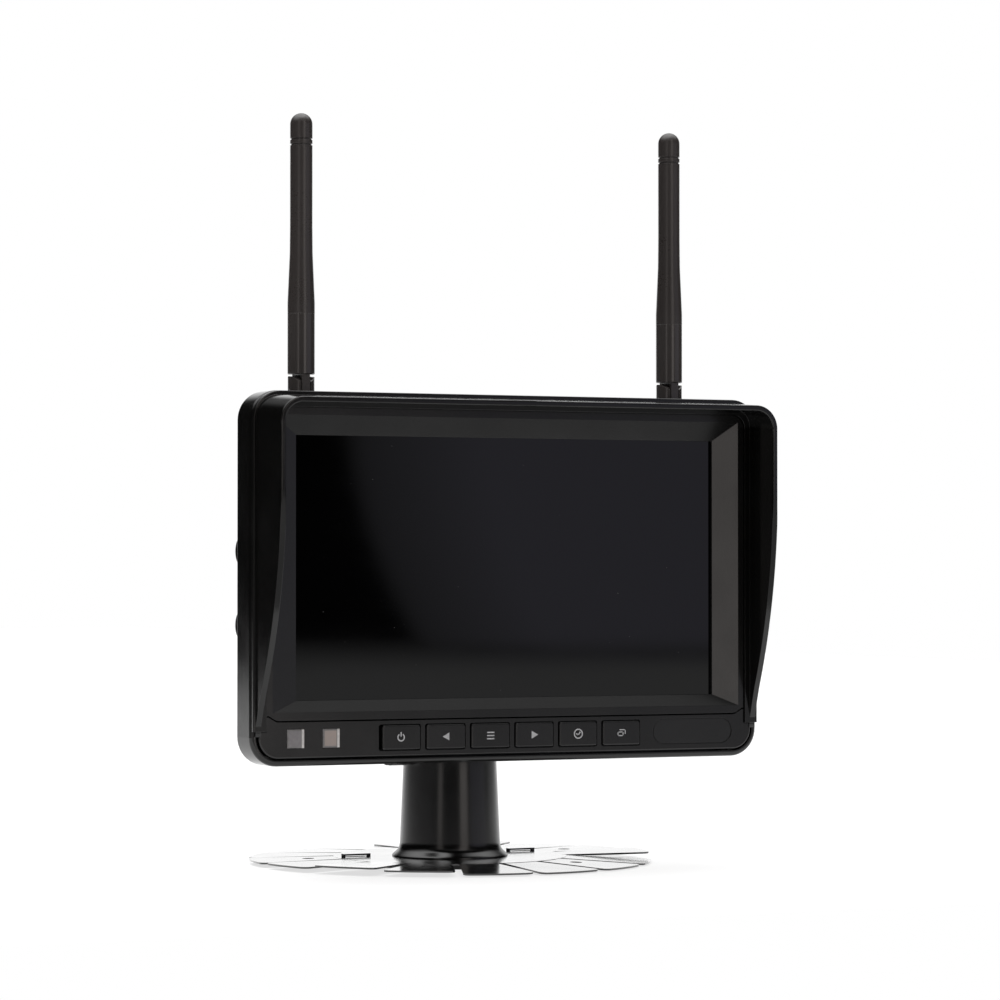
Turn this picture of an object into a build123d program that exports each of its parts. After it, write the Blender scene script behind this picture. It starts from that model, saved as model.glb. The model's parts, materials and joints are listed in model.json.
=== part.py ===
from build123d import *
import math
import os

# Wireless 7-inch rear-view monitor with sun hood, two folding antennas and a bendable finger stand.
# Millimetres. +Z up, the screen faces -Y. The origin is on the ground, under the axis of the post.

# --- Where the screen stands -------------------------------------------------------------------------
SCREEN_Z = 101.6              # height of the screen's centre
SCREEN_Y = -46.9              # plane of the screen opening; depths below are measured back from it
OPENING_W = 155.0             # 7-inch 16:9 opening
OPENING_H = 87.0

# --- Housing -----------------------------------------------------------------------------------------
CASE_W = 188.2
CASE_TOP = 57.9               # heights below are measured from the screen's centre
CASE_BOTTOM = -64.8
CASE_CORNER = 9.5
RIM_FRONT = -1.6              # front edge of the rim
RIM_BACK = 10.8               # where the full-size rim ends and the narrower back begins
RIM_WALL = 1.9
BACK_W = 178.0
BACK_TOP = 50.0
BACK_BOTTOM = -58.0
BACK_DEPTH = 25.0
BACK_WALL = 2.2
BACK_CORNER = 8.0
BACK_ROUND = 5.0              # rounding of the edge round the back

# --- Face --------------------------------------------------------------------------------------------
FACE_W = 182.8                # bezel and key panel sit inside the rim with a narrow groove all round
FACE_TOP = 55.2
FACE_BOTTOM = -62.2
FACE_FRONT = -2.2
FACE_CORNER = 6.8
FACE_ROUND = 0.5              # rounding of the outer front edges
SEAM_Z = -50.15               # seam between the bezel and the key panel
SEAM_GAP = 0.5
SEAM_FLAT_X = 85.2            # the seam turns upwards here
SEAM_TURN_X = 88.0            # and runs level again under the hood's flange
SEAM_RISE = 1.7
BEZEL_BACK = 1.2
PANEL_BACK = 0.8
SLOPE_W = 173.2               # outer outline of the slope round the screen
SLOPE_TOP = 50.0
SLOPE_BOTTOM = -47.3
GLASS_FRONT = 1.25
GLASS_T = 1.1

# --- Keys and windows --------------------------------------------------------------------------------
KEY_NAMES = ["power", "left", "menu", "right", "ok", "channel"]
KEY_PITCH = 16.4
KEY_ROW_Z = -56.0
KEY_HOLE_W = 14.8
KEY_HOLE_H = 8.8
KEY_GAP = 0.35
POWER_KEY_GAP = 0.4           # extra room on the left of the power key, in the panel and on the cap
KEY_PROUD = 0.55
KEY_TRAVEL = 0.6
WINDOW_SIZE = 6.4
IR_WINDOW_X = -78.4
LIGHT_WINDOW_X = -65.8
WINDOW_Z = -55.8
BADGE_X = 68.7
BADGE_W = 30.6
BADGE_H = 8.7
KEY_BOARD_FRONT = 5.5

# --- Fixings -----------------------------------------------------------------------------------------
CASE_SCREW_X = 85.0
CASE_SCREW_SEAT = 4.0         # how deep the heads sit below the back
FACE_BOSS_R = 2.3
CASE_SCREW_Z = [40.0, -7.0, -53.2]
BOSS_SPLIT = 8.5              # face bosses end here and shell bosses begin
INSERT_Z = [5.4, -19.0]       # threaded side bosses for a U-bracket
INSERT_HOLE_DEPTHS = [7.0, 7.6]   # the lower hole is drilled a little deeper
INSERT_LEAD_INS = [0.3, 0.5]
INSERT_DEPTH = 15.5
INSERT_END_X = 90.8
INSERT_BOSS_R = 4.9
INSERT_R = 2.9
THREAD_R = 2.0
BOARD_SCREW_SPOTS = [(-50, 34), (50, 34), (-50, -40), (50, -40)]
BOARD_FRONT = 13.5
BOARD_T = 1.6

# --- Sun hood ----------------------------------------------------------------------------------------
HOOD_W = 187.4
HOOD_TOP = 57.8
HOOD_END = -53.3
HOOD_FLANGE_FRONT = -2.9
HOOD_FLANGE_BACK = -1.65
HOOD_FLANGE_W = 4.8
HOOD_FLANGE_TOP = 5.1
HOOD_HOLE_CORNER = 4.7
HOOD_REACH = 21.1             # how far the hood stands out from the screen plane
HOOD_WALL = 1.9
HOOD_ROOT_W = 185.6
HOOD_ROOT_TOP = 56.5
HOOD_TIP_W = 183.2
HOOD_TIP_TOP = 55.25
HOOD_CORNER = 8.0
HOOD_TAB_X = 90.2
HOOD_TAB_Z = 54.0

# --- Antennas ----------------------------------------------------------------------------------------
ANTENNA_X = 69.2
ANTENNA_DEPTH = 15.5
HINGE_Z = 58.0                # fold axis, at the level of the housing's top edge
FORK_R = 4.45
FORK_BOTTOM = 52.2
SLEEVE_R = 4.53
SLEEVE_BOTTOM = 64.0
WHIP_BOTTOM = 84.2
WHIP_R = 3.72
ANTENNA_TIP = 150.9

# --- Stand -------------------------------------------------------------------------------------------
PLATE_R = 69.5
PLATE_T = 0.6
PAD_T = 1.6
PAD_R = 36.0
HUB_R = 40.3
FINGERS = 16
SLIT_W = 2.5
FINGER_HOLE_R = 50.0
POST_TOP = 36.0
POST_FOOT_R = 20.0
POST_LOW_R = 17.3
POST_TOP_R = 16.05
POST_WALL = 2.4
TILT_Z = 44.1                 # height of the tilt bolt
CHEEK_IN = 7.2
CHEEK_OUT = 11.7
BOLT_R = 2.0
RUNNING = 0.05                # radial clearance of a turning fit
KNOB_R = 10.5
KNOB_IN = -16.8
KNOB_OUT = -24.5
TONGUE_W = 26.4
TONGUE_NECK_W = 14.4
TONGUE_TOP = -20.6
TONGUE_CLEAR = 0.3


# --- Helpers -----------------------------------------------------------------------------------------
def slab(width, height, front, back, x=0, z=0):
    """Block between two depths behind the screen opening, centred at x and z from the screen's centre."""
    return Pos(x, SCREEN_Y + (front + back) / 2, SCREEN_Z + z) * Box(width, back - front, height)


def face_plane(depth, x=0, z=0):
    """Plane parallel to the screen at a depth behind the opening, facing the viewer."""
    return Plane(origin=(x, SCREEN_Y + depth, SCREEN_Z + z), x_dir=(1, 0, 0), z_dir=(0, -1, 0))


def rounded_slab(width, top, bottom, radius, front, back, x=0):
    """Block with rounded corners between two depths and two heights."""
    sketch = RectangleRounded(width, top - bottom, radius)
    return extrude(face_plane(back, x, (top + bottom) / 2) * sketch, back - front)


def rod(radius, front, back, x, z):
    """Cylinder along the depth direction."""
    return extrude(face_plane(back, x, z) * Circle(radius), back - front)


def cross_rod(radius, x_from, x_to, y, z):
    """Cylinder along X, in ground coordinates."""
    plane = Plane(origin=(x_from, y, z), x_dir=(0, 1, 0), z_dir=(1, 0, 0))
    return extrude(plane * Circle(radius), x_to - x_from)


def post_rod(radius, bottom, top, x=0, y=0):
    """Upright cylinder, in ground coordinates."""
    return extrude(Plane(origin=(x, y, bottom)) * Circle(radius), top - bottom)


def edges_at_depth(solid, depth):
    """Edges that lie wholly in the plane at a depth behind the opening."""
    level = SCREEN_Y + depth
    return solid.edges().filter_by_position(Axis.Y, level - 0.01, level + 0.01)


def save(name, shape):
    """Write one node as a STEP file."""
    shape.label = name
    export_step(shape, f"parts/{name}.step")


# --- Housing -----------------------------------------------------------------------------------------
def make_rear_shell():
    rim = rounded_slab(CASE_W, CASE_TOP, CASE_BOTTOM, CASE_CORNER, RIM_FRONT, RIM_BACK)
    rim = fillet(edges_at_depth(rim, RIM_FRONT), 1.5)
    rim = fillet(edges_at_depth(rim, RIM_BACK), 1.0)
    back = rounded_slab(BACK_W, BACK_TOP, BACK_BOTTOM, BACK_CORNER, RIM_BACK - 2, BACK_DEPTH)
    back = fillet(edges_at_depth(back, BACK_DEPTH), BACK_ROUND)
    shell = rim + back
    shell -= rounded_slab(CASE_W - 2 * RIM_WALL, CASE_TOP - RIM_WALL, CASE_BOTTOM + RIM_WALL,
                          CASE_CORNER - RIM_WALL, RIM_FRONT - 1, RIM_BACK - BACK_WALL)
    shell -= rounded_slab(BACK_W - 2 * BACK_WALL, BACK_TOP - BACK_WALL, BACK_BOTTOM + BACK_WALL,
                          BACK_CORNER - BACK_WALL, RIM_BACK - BACK_WALL - 1, BACK_DEPTH - BACK_WALL)
    shell += shell_bosses() + slide_channel_block()
    shell -= shell_holes()
    return shell


def shell_bosses():
    """Case screw pillars, board standoffs and the side bosses that hold the threaded inserts."""
    inside = BACK_DEPTH - BACK_WALL
    parts = []
    for side in (-1, 1):
        for z in CASE_SCREW_Z:
            parts.append(rod(3.2, BOSS_SPLIT + 0.1, inside + 0.5, side * CASE_SCREW_X, z))
        for z in INSERT_Z:
            y = SCREEN_Y + INSERT_DEPTH
            boss = cross_rod(INSERT_BOSS_R, side * (INSERT_END_X - 8.2), side * INSERT_END_X, y, SCREEN_Z + z)
            outer_edge = boss.edges().filter_by(GeomType.CIRCLE).sort_by(Axis.X)[0 if side < 0 else -1]
            parts.append(fillet(outer_edge, 0.5))
    for x, z in BOARD_SCREW_SPOTS:
        parts.append(rod(3.5, BOARD_FRONT + BOARD_T, inside + 0.5, x, z))
    return Part() + parts


def slide_channel_block():
    """Thick pad inside the back that the T-slot is cut in."""
    return slab(35, 42, 16.7, BACK_DEPTH - 1, 0, BACK_BOTTOM + 22)


def shell_holes():
    """Everything cut through the shell's walls."""
    back = BACK_DEPTH
    cuts = []
    for side in (-1, 1):
        for z in CASE_SCREW_Z:
            cuts.append(rod(1.6, BOSS_SPLIT - 1, back + 1, side * CASE_SCREW_X, z))
            cuts.append(rod(2.7, back - CASE_SCREW_SEAT, back + 1, side * CASE_SCREW_X, z))
        for z, depth, lead_in in zip(INSERT_Z, INSERT_HOLE_DEPTHS, INSERT_LEAD_INS):
            y = SCREEN_Y + INSERT_DEPTH
            far = side * (INSERT_END_X + 1)
            cuts.append(cross_rod(INSERT_R, side * (INSERT_END_X - depth), far, y, SCREEN_Z + z))
            cuts.append(cross_rod(INSERT_R + 0.4, side * (INSERT_END_X - lead_in), far, y, SCREEN_Z + z))
        y = SCREEN_Y + ANTENNA_DEPTH
        cuts.append(post_rod(3.3, SCREEN_Z + BACK_TOP - 6, SCREEN_Z + BACK_TOP + 1, side * ANTENNA_X, y))
    for x, z in BOARD_SCREW_SPOTS:
        cuts.append(rod(1.1, BOARD_FRONT, BACK_DEPTH - BACK_WALL, x, z))
    slot_top = TONGUE_TOP + 0.1
    slot_bottom = BACK_BOTTOM - 1
    slot_middle = (slot_top + slot_bottom) / 2
    slot_h = slot_top - slot_bottom
    cuts.append(slab(TONGUE_W + 2 * TONGUE_CLEAR, slot_h, 18.9, 22.5, 0, slot_middle))
    cuts.append(slab(TONGUE_NECK_W + 2 * TONGUE_CLEAR, slot_h, 22, back + 1, 0, slot_middle))
    for i in range(6):
        cuts.append(slab(1.5, 4, 2.5, 7.5, -63.5 + i * 3.2, CASE_BOTTOM + 1))
    for i in range(5):
        cuts.append(rounded_slab(1.8, -34, -48, 0.85, back - 4, back + 1, -74.4 + i * 3.2))
    for i in range(9):
        cuts.append(rounded_slab(1.8, 36, 18, 0.85, back - 4, back + 1, -16 + i * 4))
    cuts.append(rod(5.2, back - 3.5, back + 1, 72, -42))
    return Part() + cuts


def below_seam(shift):
    """Everything under the seam line, which lifts at both ends; the line itself is moved by the shift."""
    low = SEAM_Z + shift
    high = low + SEAM_RISE
    far = CASE_W
    outline = make_face(Polyline((-far, high), (-SEAM_TURN_X, high), (-SEAM_FLAT_X, low), (SEAM_FLAT_X, low),
                                 (SEAM_TURN_X, high), (far, high), (far, -far), (-far, -far), close=True))
    bends = [v for v in outline.vertices() if abs(abs(v.X) - SEAM_FLAT_X) < 0.01]
    return extrude(face_plane(20) * fillet(bends, 4), 40)


def make_screen_bezel():
    bezel = rounded_slab(FACE_W, FACE_TOP, FACE_BOTTOM, FACE_CORNER, FACE_FRONT, BEZEL_BACK)
    bezel = fillet(edges_at_depth(bezel, FACE_FRONT), FACE_ROUND)
    bezel -= below_seam(SEAM_GAP / 2)
    bezel -= slab(OPENING_W, OPENING_H, -10, 10)
    inner = face_plane(0) * Rectangle(OPENING_W, OPENING_H)
    over = 1.2
    grow = (FACE_FRONT - over) / FACE_FRONT
    outer_w = OPENING_W + (SLOPE_W - OPENING_W) * grow
    outer_top = OPENING_H / 2 + (SLOPE_TOP - OPENING_H / 2) * grow
    outer_bottom = -OPENING_H / 2 + (SLOPE_BOTTOM + OPENING_H / 2) * grow
    outer_plane = face_plane(FACE_FRONT - over, 0, (outer_top + outer_bottom) / 2)
    outer = outer_plane * Rectangle(outer_w, outer_top - outer_bottom)
    bezel -= loft([inner.face(), outer.face()])
    bezel -= hood_seat()
    for x, z, width, height in hood_tab_spots():
        bezel -= slab(width + 0.5, height + 0.5, FACE_FRONT - 1, BEZEL_BACK + 1, x, z)
    for side in (-1, 1):
        for z in CASE_SCREW_Z[:2]:
            bezel += rod(FACE_BOSS_R, BEZEL_BACK - 0.4, BOSS_SPLIT, side * CASE_SCREW_X, z)
            bezel -= rod(1.3, BEZEL_BACK, BOSS_SPLIT + 1, side * CASE_SCREW_X, z)
    return bezel


def make_control_panel():
    panel = rounded_slab(FACE_W, FACE_TOP, FACE_BOTTOM, FACE_CORNER, FACE_FRONT, PANEL_BACK)
    panel = fillet(edges_at_depth(panel, FACE_FRONT), FACE_ROUND)
    panel &= below_seam(-SEAM_GAP / 2)
    panel -= hood_seat()
    for i in range(len(KEY_NAMES)):
        top = KEY_ROW_Z + KEY_HOLE_H / 2
        bottom = KEY_ROW_Z - KEY_HOLE_H / 2
        extra = POWER_KEY_GAP if i == 0 else 0
        panel -= rounded_slab(KEY_HOLE_W + extra, top, bottom, 0.8, -10, 10, key_x(i) - extra / 2)
    for x in (IR_WINDOW_X, LIGHT_WINDOW_X):
        panel -= slab(WINDOW_SIZE, WINDOW_SIZE, -10, 10, x, WINDOW_Z)
    badge_plane = face_plane(FACE_FRONT + 0.5, BADGE_X, WINDOW_Z)
    panel -= extrude(badge_plane * SlotOverall(BADGE_W, BADGE_H), 2)
    for side in (-1, 1):
        panel += rod(FACE_BOSS_R, PANEL_BACK - 0.4, BOSS_SPLIT, side * CASE_SCREW_X, CASE_SCREW_Z[2])
        panel -= rod(1.3, PANEL_BACK, BOSS_SPLIT + 1, side * CASE_SCREW_X, CASE_SCREW_Z[2])
    return panel


def make_badge_plate():
    """Blank plate in the stadium-shaped recess."""
    plane = face_plane(FACE_FRONT + 0.5, BADGE_X, WINDOW_Z)
    return extrude(plane * SlotOverall(BADGE_W - 0.5, BADGE_H - 0.5), 0.4)


def make_window(x):
    """Clear square light pipe: a flush block with a wider collar behind the panel."""
    size = WINDOW_SIZE - 0.2
    body = slab(size, size, FACE_FRONT - 0.15, PANEL_BACK + 0.1, x, WINDOW_Z)
    body = chamfer(edges_at_depth(body, FACE_FRONT - 0.15), 0.25)
    return body + slab(size + 1.6, size + 1.6, PANEL_BACK + 0.1, PANEL_BACK + 1.1, x, WINDOW_Z)


# --- Keys --------------------------------------------------------------------------------------------
def key_x(index):
    return (index - (len(KEY_NAMES) - 1) / 2) * KEY_PITCH


def make_key(index):
    """Cap through the panel, a collar behind it and a short stem that meets the switch."""
    x = key_x(index)
    trim = POWER_KEY_GAP if index == 0 else 0
    width = KEY_HOLE_W - 2 * KEY_GAP - trim
    height = KEY_HOLE_H - 2 * KEY_GAP
    top = KEY_ROW_Z + height / 2
    cap = rounded_slab(width, top, top - height, 0.7, FACE_FRONT - KEY_PROUD, PANEL_BACK + 0.1, x + trim / 2)
    cap = fillet(edges_at_depth(cap, FACE_FRONT - KEY_PROUD), 0.4)
    collar = slab(15.8, 9.8, PANEL_BACK + 0.05, PANEL_BACK + 0.85, x, KEY_ROW_Z)
    return cap + collar + rod(1.8, PANEL_BACK + 0.5, 2.6, x, KEY_ROW_Z)


def make_plunger(index):
    """Moving stem of the tact switch."""
    return rod(1.5, 2.6, 4.4, key_x(index), KEY_ROW_Z)


def make_key_switches():
    """Six tact switch bodies on the key board."""
    parts = []
    for i in range(len(KEY_NAMES)):
        body = slab(6, 6, 3.4, KEY_BOARD_FRONT, key_x(i), KEY_ROW_Z)
        parts.append(body - rod(1.6, 3.0, 5.1, key_x(i), KEY_ROW_Z))
    return Compound(children=parts)


def make_key_board():
    return slab(132, 9.8, KEY_BOARD_FRONT, KEY_BOARD_FRONT + 1.2, -16, -56.3)


def make_ir_receiver():
    """Remote-control receiver with its lens bump."""
    body = slab(5.5, 6, 3.4, KEY_BOARD_FRONT, IR_WINDOW_X, WINDOW_Z)
    return body + rod(2.2, 2.2, 3.6, IR_WINDOW_X, WINDOW_Z)


def make_light_sensor():
    return slab(4, 4, 3.6, KEY_BOARD_FRONT, LIGHT_WINDOW_X, WINDOW_Z)


# --- Display and electronics -------------------------------------------------------------------------
def make_lcd_glass():
    return slab(OPENING_W + 4, OPENING_H + 4, GLASS_FRONT, GLASS_FRONT + GLASS_T)


def make_lcd_panel():
    """LCD module with a metal frame and a step for its driver board."""
    front = GLASS_FRONT + GLASS_T
    module = slab(161, 97, front, front + 3.4)
    return module + slab(120, 14, front + 3, front + 5, 0, -38)


def make_main_board():
    """Circuit board with its main chips and connectors."""
    board = slab(118, 88, BOARD_FRONT, BOARD_FRONT + BOARD_T, 0, -2)
    for x, z in BOARD_SCREW_SPOTS:
        board -= rod(1.4, BOARD_FRONT - 1, BOARD_FRONT + BOARD_T + 1, x, z)
    front = BOARD_FRONT
    board += slab(18, 18, front - 1.4, front + 0.2, -8, 0)
    board += slab(12, 9, front - 1.2, front + 0.2, -32, 8)
    board += slab(24, 5, front - 2.6, front + 0.2, 10, -36)
    board += slab(6, 14, front - 3.0, front + 0.2, 48, -12)
    for i in range(3):
        board += rod(3.1, front - 4.2, front + 0.2, -42 + i * 8, -20)
    return board


def make_radio_module():
    """Shield can of the 2.4 GHz receiver."""
    can = slab(32, 24, BOARD_FRONT - 3, BOARD_FRONT, 26, 22)
    return fillet(can.edges().filter_by(Axis.Y), 1.2)


def make_speaker():
    """Round loudspeaker behind the back grille."""
    basket = rod(10.5, 18.6, BACK_DEPTH - BACK_WALL, -68, -41)
    return basket + rod(5.5, 16, 18.8, -68, -41)


def make_power_socket():
    """Round DC inlet: a block inside with a collar that fills the hole in the back."""
    body = slab(10.6, 12, 12, BACK_DEPTH - 3.6, 72, -42) + rod(5.0, BACK_DEPTH - 4, BACK_DEPTH - 0.4, 72, -42)
    return body - rod(2.85, 14, BACK_DEPTH + 1, 72, -42)


def make_power_pin():
    return rod(1.0, 14, BACK_DEPTH - 2, 72, -42)


def make_case_screws():
    """Six screws that hold the two face mouldings to the shell."""
    parts = []
    for side in (-1, 1):
        for z in CASE_SCREW_Z:
            x = side * CASE_SCREW_X
            seat = BACK_DEPTH - CASE_SCREW_SEAT
            screw = rod(2.5, seat, seat + 2, x, z) + rod(1.25, 3.2, seat + 0.2, x, z)
            parts.append(screw - cross_recess(x, z, seat + 2))
    return Compound(children=parts)


def cross_recess(x, z, face):
    """Cross-shaped driver recess in a screw head that faces backwards."""
    return slab(3.2, 0.8, face - 1, face + 0.5, x, z) + slab(0.8, 3.2, face - 1, face + 0.5, x, z)


def make_board_screws():
    parts = []
    for x, z in BOARD_SCREW_SPOTS:
        parts.append(rod(2.4, BOARD_FRONT - 1.4, BOARD_FRONT, x, z) + rod(1.05, BOARD_FRONT - 0.2, 20, x, z))
    return Compound(children=parts)


def make_side_inserts():
    """Four threaded brass inserts in the side bosses."""
    parts = []
    y = SCREEN_Y + INSERT_DEPTH
    for side in (-1, 1):
        for z in INSERT_Z:
            outer = cross_rod(INSERT_R, side * (INSERT_END_X - 6.6), side * (INSERT_END_X - 0.2), y, SCREEN_Z + z)
            outer -= cross_rod(THREAD_R, side * (INSERT_END_X - 6.2), side * (INSERT_END_X + 1), y, SCREEN_Z + z)
            parts.append(outer)
    return Compound(children=parts)


# --- Sun hood ----------------------------------------------------------------------------------------
def hood_tab_spots():
    """Centre and section of each tab that plugs the hood into the bezel."""
    spots = []
    for side in (-1, 1):
        for z in (30, -25):
            spots.append((side * HOOD_TAB_X, z, 1.2, 8))
    for x in (-60, 0, 60):
        spots.append((x, HOOD_TAB_Z, 8, 1.2))
    return spots


def hood_flange(spare, front, back):
    """U-shaped flange round the top and sides of the face, larger all round by the spare room."""
    bottom = HOOD_END - 20
    outer_w = HOOD_W + 2 * spare
    hole_w = HOOD_W - 2 * (HOOD_FLANGE_W + spare)
    flange = rounded_slab(outer_w, HOOD_TOP + spare, bottom, CASE_CORNER, front, back)
    if spare == 0:
        flange = fillet(edges_at_depth(flange, front), 0.4)
    flange -= rounded_slab(hole_w, HOOD_TOP - HOOD_FLANGE_TOP - spare, bottom - 5, HOOD_HOLE_CORNER, -10, 10)
    return flange - slab(outer_w + 10, 40, -10, 10, 0, HOOD_END - spare - 20)


def hood_seat():
    """Step cut in the face mouldings so that the flange lies on them."""
    return hood_flange(0.25, FACE_FRONT - 1, HOOD_FLANGE_BACK + 0.1)


def hood_section(width, top, radius, depth):
    """Closed outline of the hood at one depth; its lower part is cut away later."""
    bottom = CASE_BOTTOM - 30
    sketch = RectangleRounded(width, top - bottom, radius)
    return (face_plane(depth, 0, (top + bottom) / 2) * sketch).face()


def make_sun_hood():
    root = HOOD_FLANGE_FRONT + 0.3
    outer = loft([hood_section(HOOD_ROOT_W, HOOD_ROOT_TOP, HOOD_CORNER, root),
                  hood_section(HOOD_TIP_W, HOOD_TIP_TOP, HOOD_CORNER, -HOOD_REACH)])
    inner_r = HOOD_CORNER - HOOD_WALL
    inner = loft([hood_section(HOOD_ROOT_W - 2 * HOOD_WALL, HOOD_ROOT_TOP - HOOD_WALL, inner_r, root),
                  hood_section(HOOD_TIP_W - 2 * HOOD_WALL, HOOD_TIP_TOP - HOOD_WALL, inner_r, -HOOD_REACH)])
    walls = outer - inner
    walls = fillet(edges_at_depth(walls, -HOOD_REACH), 0.5)
    walls -= hood_side_cut()
    hood = walls + hood_flange(0, HOOD_FLANGE_FRONT, HOOD_FLANGE_BACK)
    for x, z, width, height in hood_tab_spots():
        hood += slab(width, height, HOOD_FLANGE_FRONT + 0.5, FACE_FRONT + 3.2, x, z)
    return hood


def hood_side_cut():
    """What is removed so that the side walls sweep back towards the foot of the hood."""
    far = -HOOD_REACH - 5
    plane = Plane(origin=(-120, SCREEN_Y, SCREEN_Z), x_dir=(0, 1, 0), z_dir=(1, 0, 0))
    straight_end = 28
    sweep = [(-HOOD_REACH, straight_end), (-17.3, -8.5), (-6.5, -41)]
    kink = (-4.6, -46.3)
    foot = (HOOD_FLANGE_FRONT + 0.15, -52.0)
    line = Polyline(sweep[2], kink, foot, (foot[0] + 3, foot[1] - 60), (far, foot[1] - 60),
                    (far, straight_end), sweep[0])
    outline = line + ThreePointArc(*sweep)
    return extrude(plane * make_face(outline), 240)


# --- Antennas ----------------------------------------------------------------------------------------
def antenna_rod(side, radius, bottom, top):
    """Upright cylinder on an antenna's axis, heights from the screen's centre."""
    return post_rod(radius, SCREEN_Z + bottom, SCREEN_Z + top, side * ANTENNA_X, SCREEN_Y + ANTENNA_DEPTH)


def hinge_rod(side, radius, half_width):
    """Cylinder along an antenna's fold axis."""
    x = side * ANTENNA_X
    return cross_rod(radius, x - half_width, x + half_width, SCREEN_Y + ANTENNA_DEPTH, SCREEN_Z + HINGE_Z)


def antenna_block(side, width, depth, bottom, top):
    """Block centred on an antenna's axis."""
    middle = SCREEN_Z + (bottom + top) / 2
    return Pos(side * ANTENNA_X, SCREEN_Y + ANTENNA_DEPTH, middle) * Box(width, depth, top - bottom)


def make_antenna_socket(side):
    """Fixed round socket: a collar on top of the back and a bored stub through its wall."""
    socket = antenna_rod(side, FORK_R, BACK_TOP, FORK_BOTTOM - 0.2) + antenna_rod(side, 3.2, BACK_TOP - 5, BACK_TOP)
    return socket - antenna_rod(side, 1.8 + RUNNING, BACK_TOP - 6, FORK_BOTTOM)


def make_antenna_fork(side):
    """Turning fork with rounded cheeks and a pivot stub in the socket."""
    fork = antenna_rod(side, FORK_R, FORK_BOTTOM, HINGE_Z)
    upper = antenna_rod(side, FORK_R, HINGE_Z, HINGE_Z + 6) & hinge_rod(side, 5.4, 6)
    fork += upper
    fork -= antenna_block(side, 3.4, 12, HINGE_Z - 4.6, HINGE_Z + 8)
    fork += antenna_rod(side, 1.8, BACK_TOP - 4.5, FORK_BOTTOM + 0.5)
    return fork - hinge_rod(side, 1.0, 8)


def make_antenna_pin(side):
    return hinge_rod(side, 0.95, 4.1)


def make_antenna_elbow(side):
    """Stiff sleeve with the tongue that turns on the hinge pin."""
    sleeve = antenna_rod(side, SLEEVE_R, SLEEVE_BOTTOM, WHIP_BOTTOM)
    sleeve = fillet(sleeve.edges().filter_by(GeomType.CIRCLE).sort_by(Axis.Z)[0], 0.4)
    tongue = hinge_rod(side, 4.3, 1.4) + antenna_block(side, 2.8, 8.6, HINGE_Z, SLEEVE_BOTTOM)
    tongue &= antenna_rod(side, SLEEVE_R, HINGE_Z - 6, SLEEVE_BOTTOM)
    elbow = sleeve + tongue
    elbow -= hinge_rod(side, 0.95 + RUNNING, 3)
    return elbow - antenna_rod(side, 1.2, WHIP_BOTTOM - 10, WHIP_BOTTOM + 1)


def make_antenna_whip(side):
    """Rubber sheath: flared foot, straight rod, two rings and a domed tip."""
    groove = 0.35
    tip = ANTENNA_TIP
    dome_start = tip - WHIP_R
    points = [(0, WHIP_BOTTOM), (SLEEVE_R, WHIP_BOTTOM), (SLEEVE_R, WHIP_BOTTOM + 3.5),
              (WHIP_R + 0.1, WHIP_BOTTOM + 20), (WHIP_R, WHIP_BOTTOM + 30)]
    for ring in (tip - 10.8, tip - 9.0):
        points += [(WHIP_R, ring), (WHIP_R - groove, ring + 0.1), (WHIP_R - groove, ring + 0.5), (WHIP_R, ring + 0.6)]
    points.append((WHIP_R, dome_start))
    dome = ThreePointArc((WHIP_R, dome_start),
                         (WHIP_R * math.sin(math.pi / 4), dome_start + WHIP_R * math.cos(math.pi / 4)),
                         (0, tip))
    outline = Polyline(*points) + dome + Line((0, tip), (0, WHIP_BOTTOM))
    plane = Plane(origin=(side * ANTENNA_X, SCREEN_Y + ANTENNA_DEPTH, SCREEN_Z), x_dir=(1, 0, 0), z_dir=(0, -1, 0))
    sheath = revolve(plane * make_face(outline), plane_axis(side))
    return sheath - antenna_rod(side, 1.2, WHIP_BOTTOM - 1, ANTENNA_TIP - 6)


def plane_axis(side):
    """Upright axis of one antenna."""
    return Axis((side * ANTENNA_X, SCREEN_Y + ANTENNA_DEPTH, SCREEN_Z), (0, 0, 1))


def make_antenna_element(side):
    """Radiator wire inside the sheath."""
    return antenna_rod(side, 1.1, WHIP_BOTTOM - 9.5, ANTENNA_TIP - 6.5)


# --- Stand -------------------------------------------------------------------------------------------
PLATE_BOTTOM = PAD_T
PLATE_TOP = PAD_T + PLATE_T
FOOT_SCREW_R = 11.5
# How far each finger's tip is bent up or down from the flat hub, counted anticlockwise from +X.
FINGER_BENDS = [0.0, -0.3, 0.2, -0.6, -1.1, -0.9, -0.7, -0.5, -0.3, 0.6, -0.1, -1.1, -1.3, -1.35, -1.35, 0.8]
SCREWED_FINGERS = [0, 3, 7, 10, 13]
BRIDGE_X = 31.5
BRIDGE_Y = 9.0
BRIDGE_L = 10.0
BRIDGE_W = 2.2
BRIDGE_RISE = 0.4


def foot_screw_spots():
    spots = []
    for i in range(3):
        angle = math.radians(90 + 120 * i)
        spots.append((FOOT_SCREW_R * math.cos(angle), FOOT_SCREW_R * math.sin(angle)))
    return spots


def make_base_plate():
    """Thin round plate cut into fingers, each bent a little on its own, with two cable-tie bridges."""
    plate = post_rod(HUB_R, PLATE_BOTTOM, PLATE_TOP)
    for index in range(FINGERS):
        plate += make_finger(index)
    for x, y in foot_screw_spots():
        plate -= post_rod(1.6, -1, 5, x, y)
    for side in (-1, 1):
        plate -= Pos(side * BRIDGE_X, BRIDGE_Y, PLATE_TOP) * Box(BRIDGE_L - 2 * PLATE_T, BRIDGE_W + 1.6, 3)
        plate += make_bridge(side)
    return plate


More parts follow.
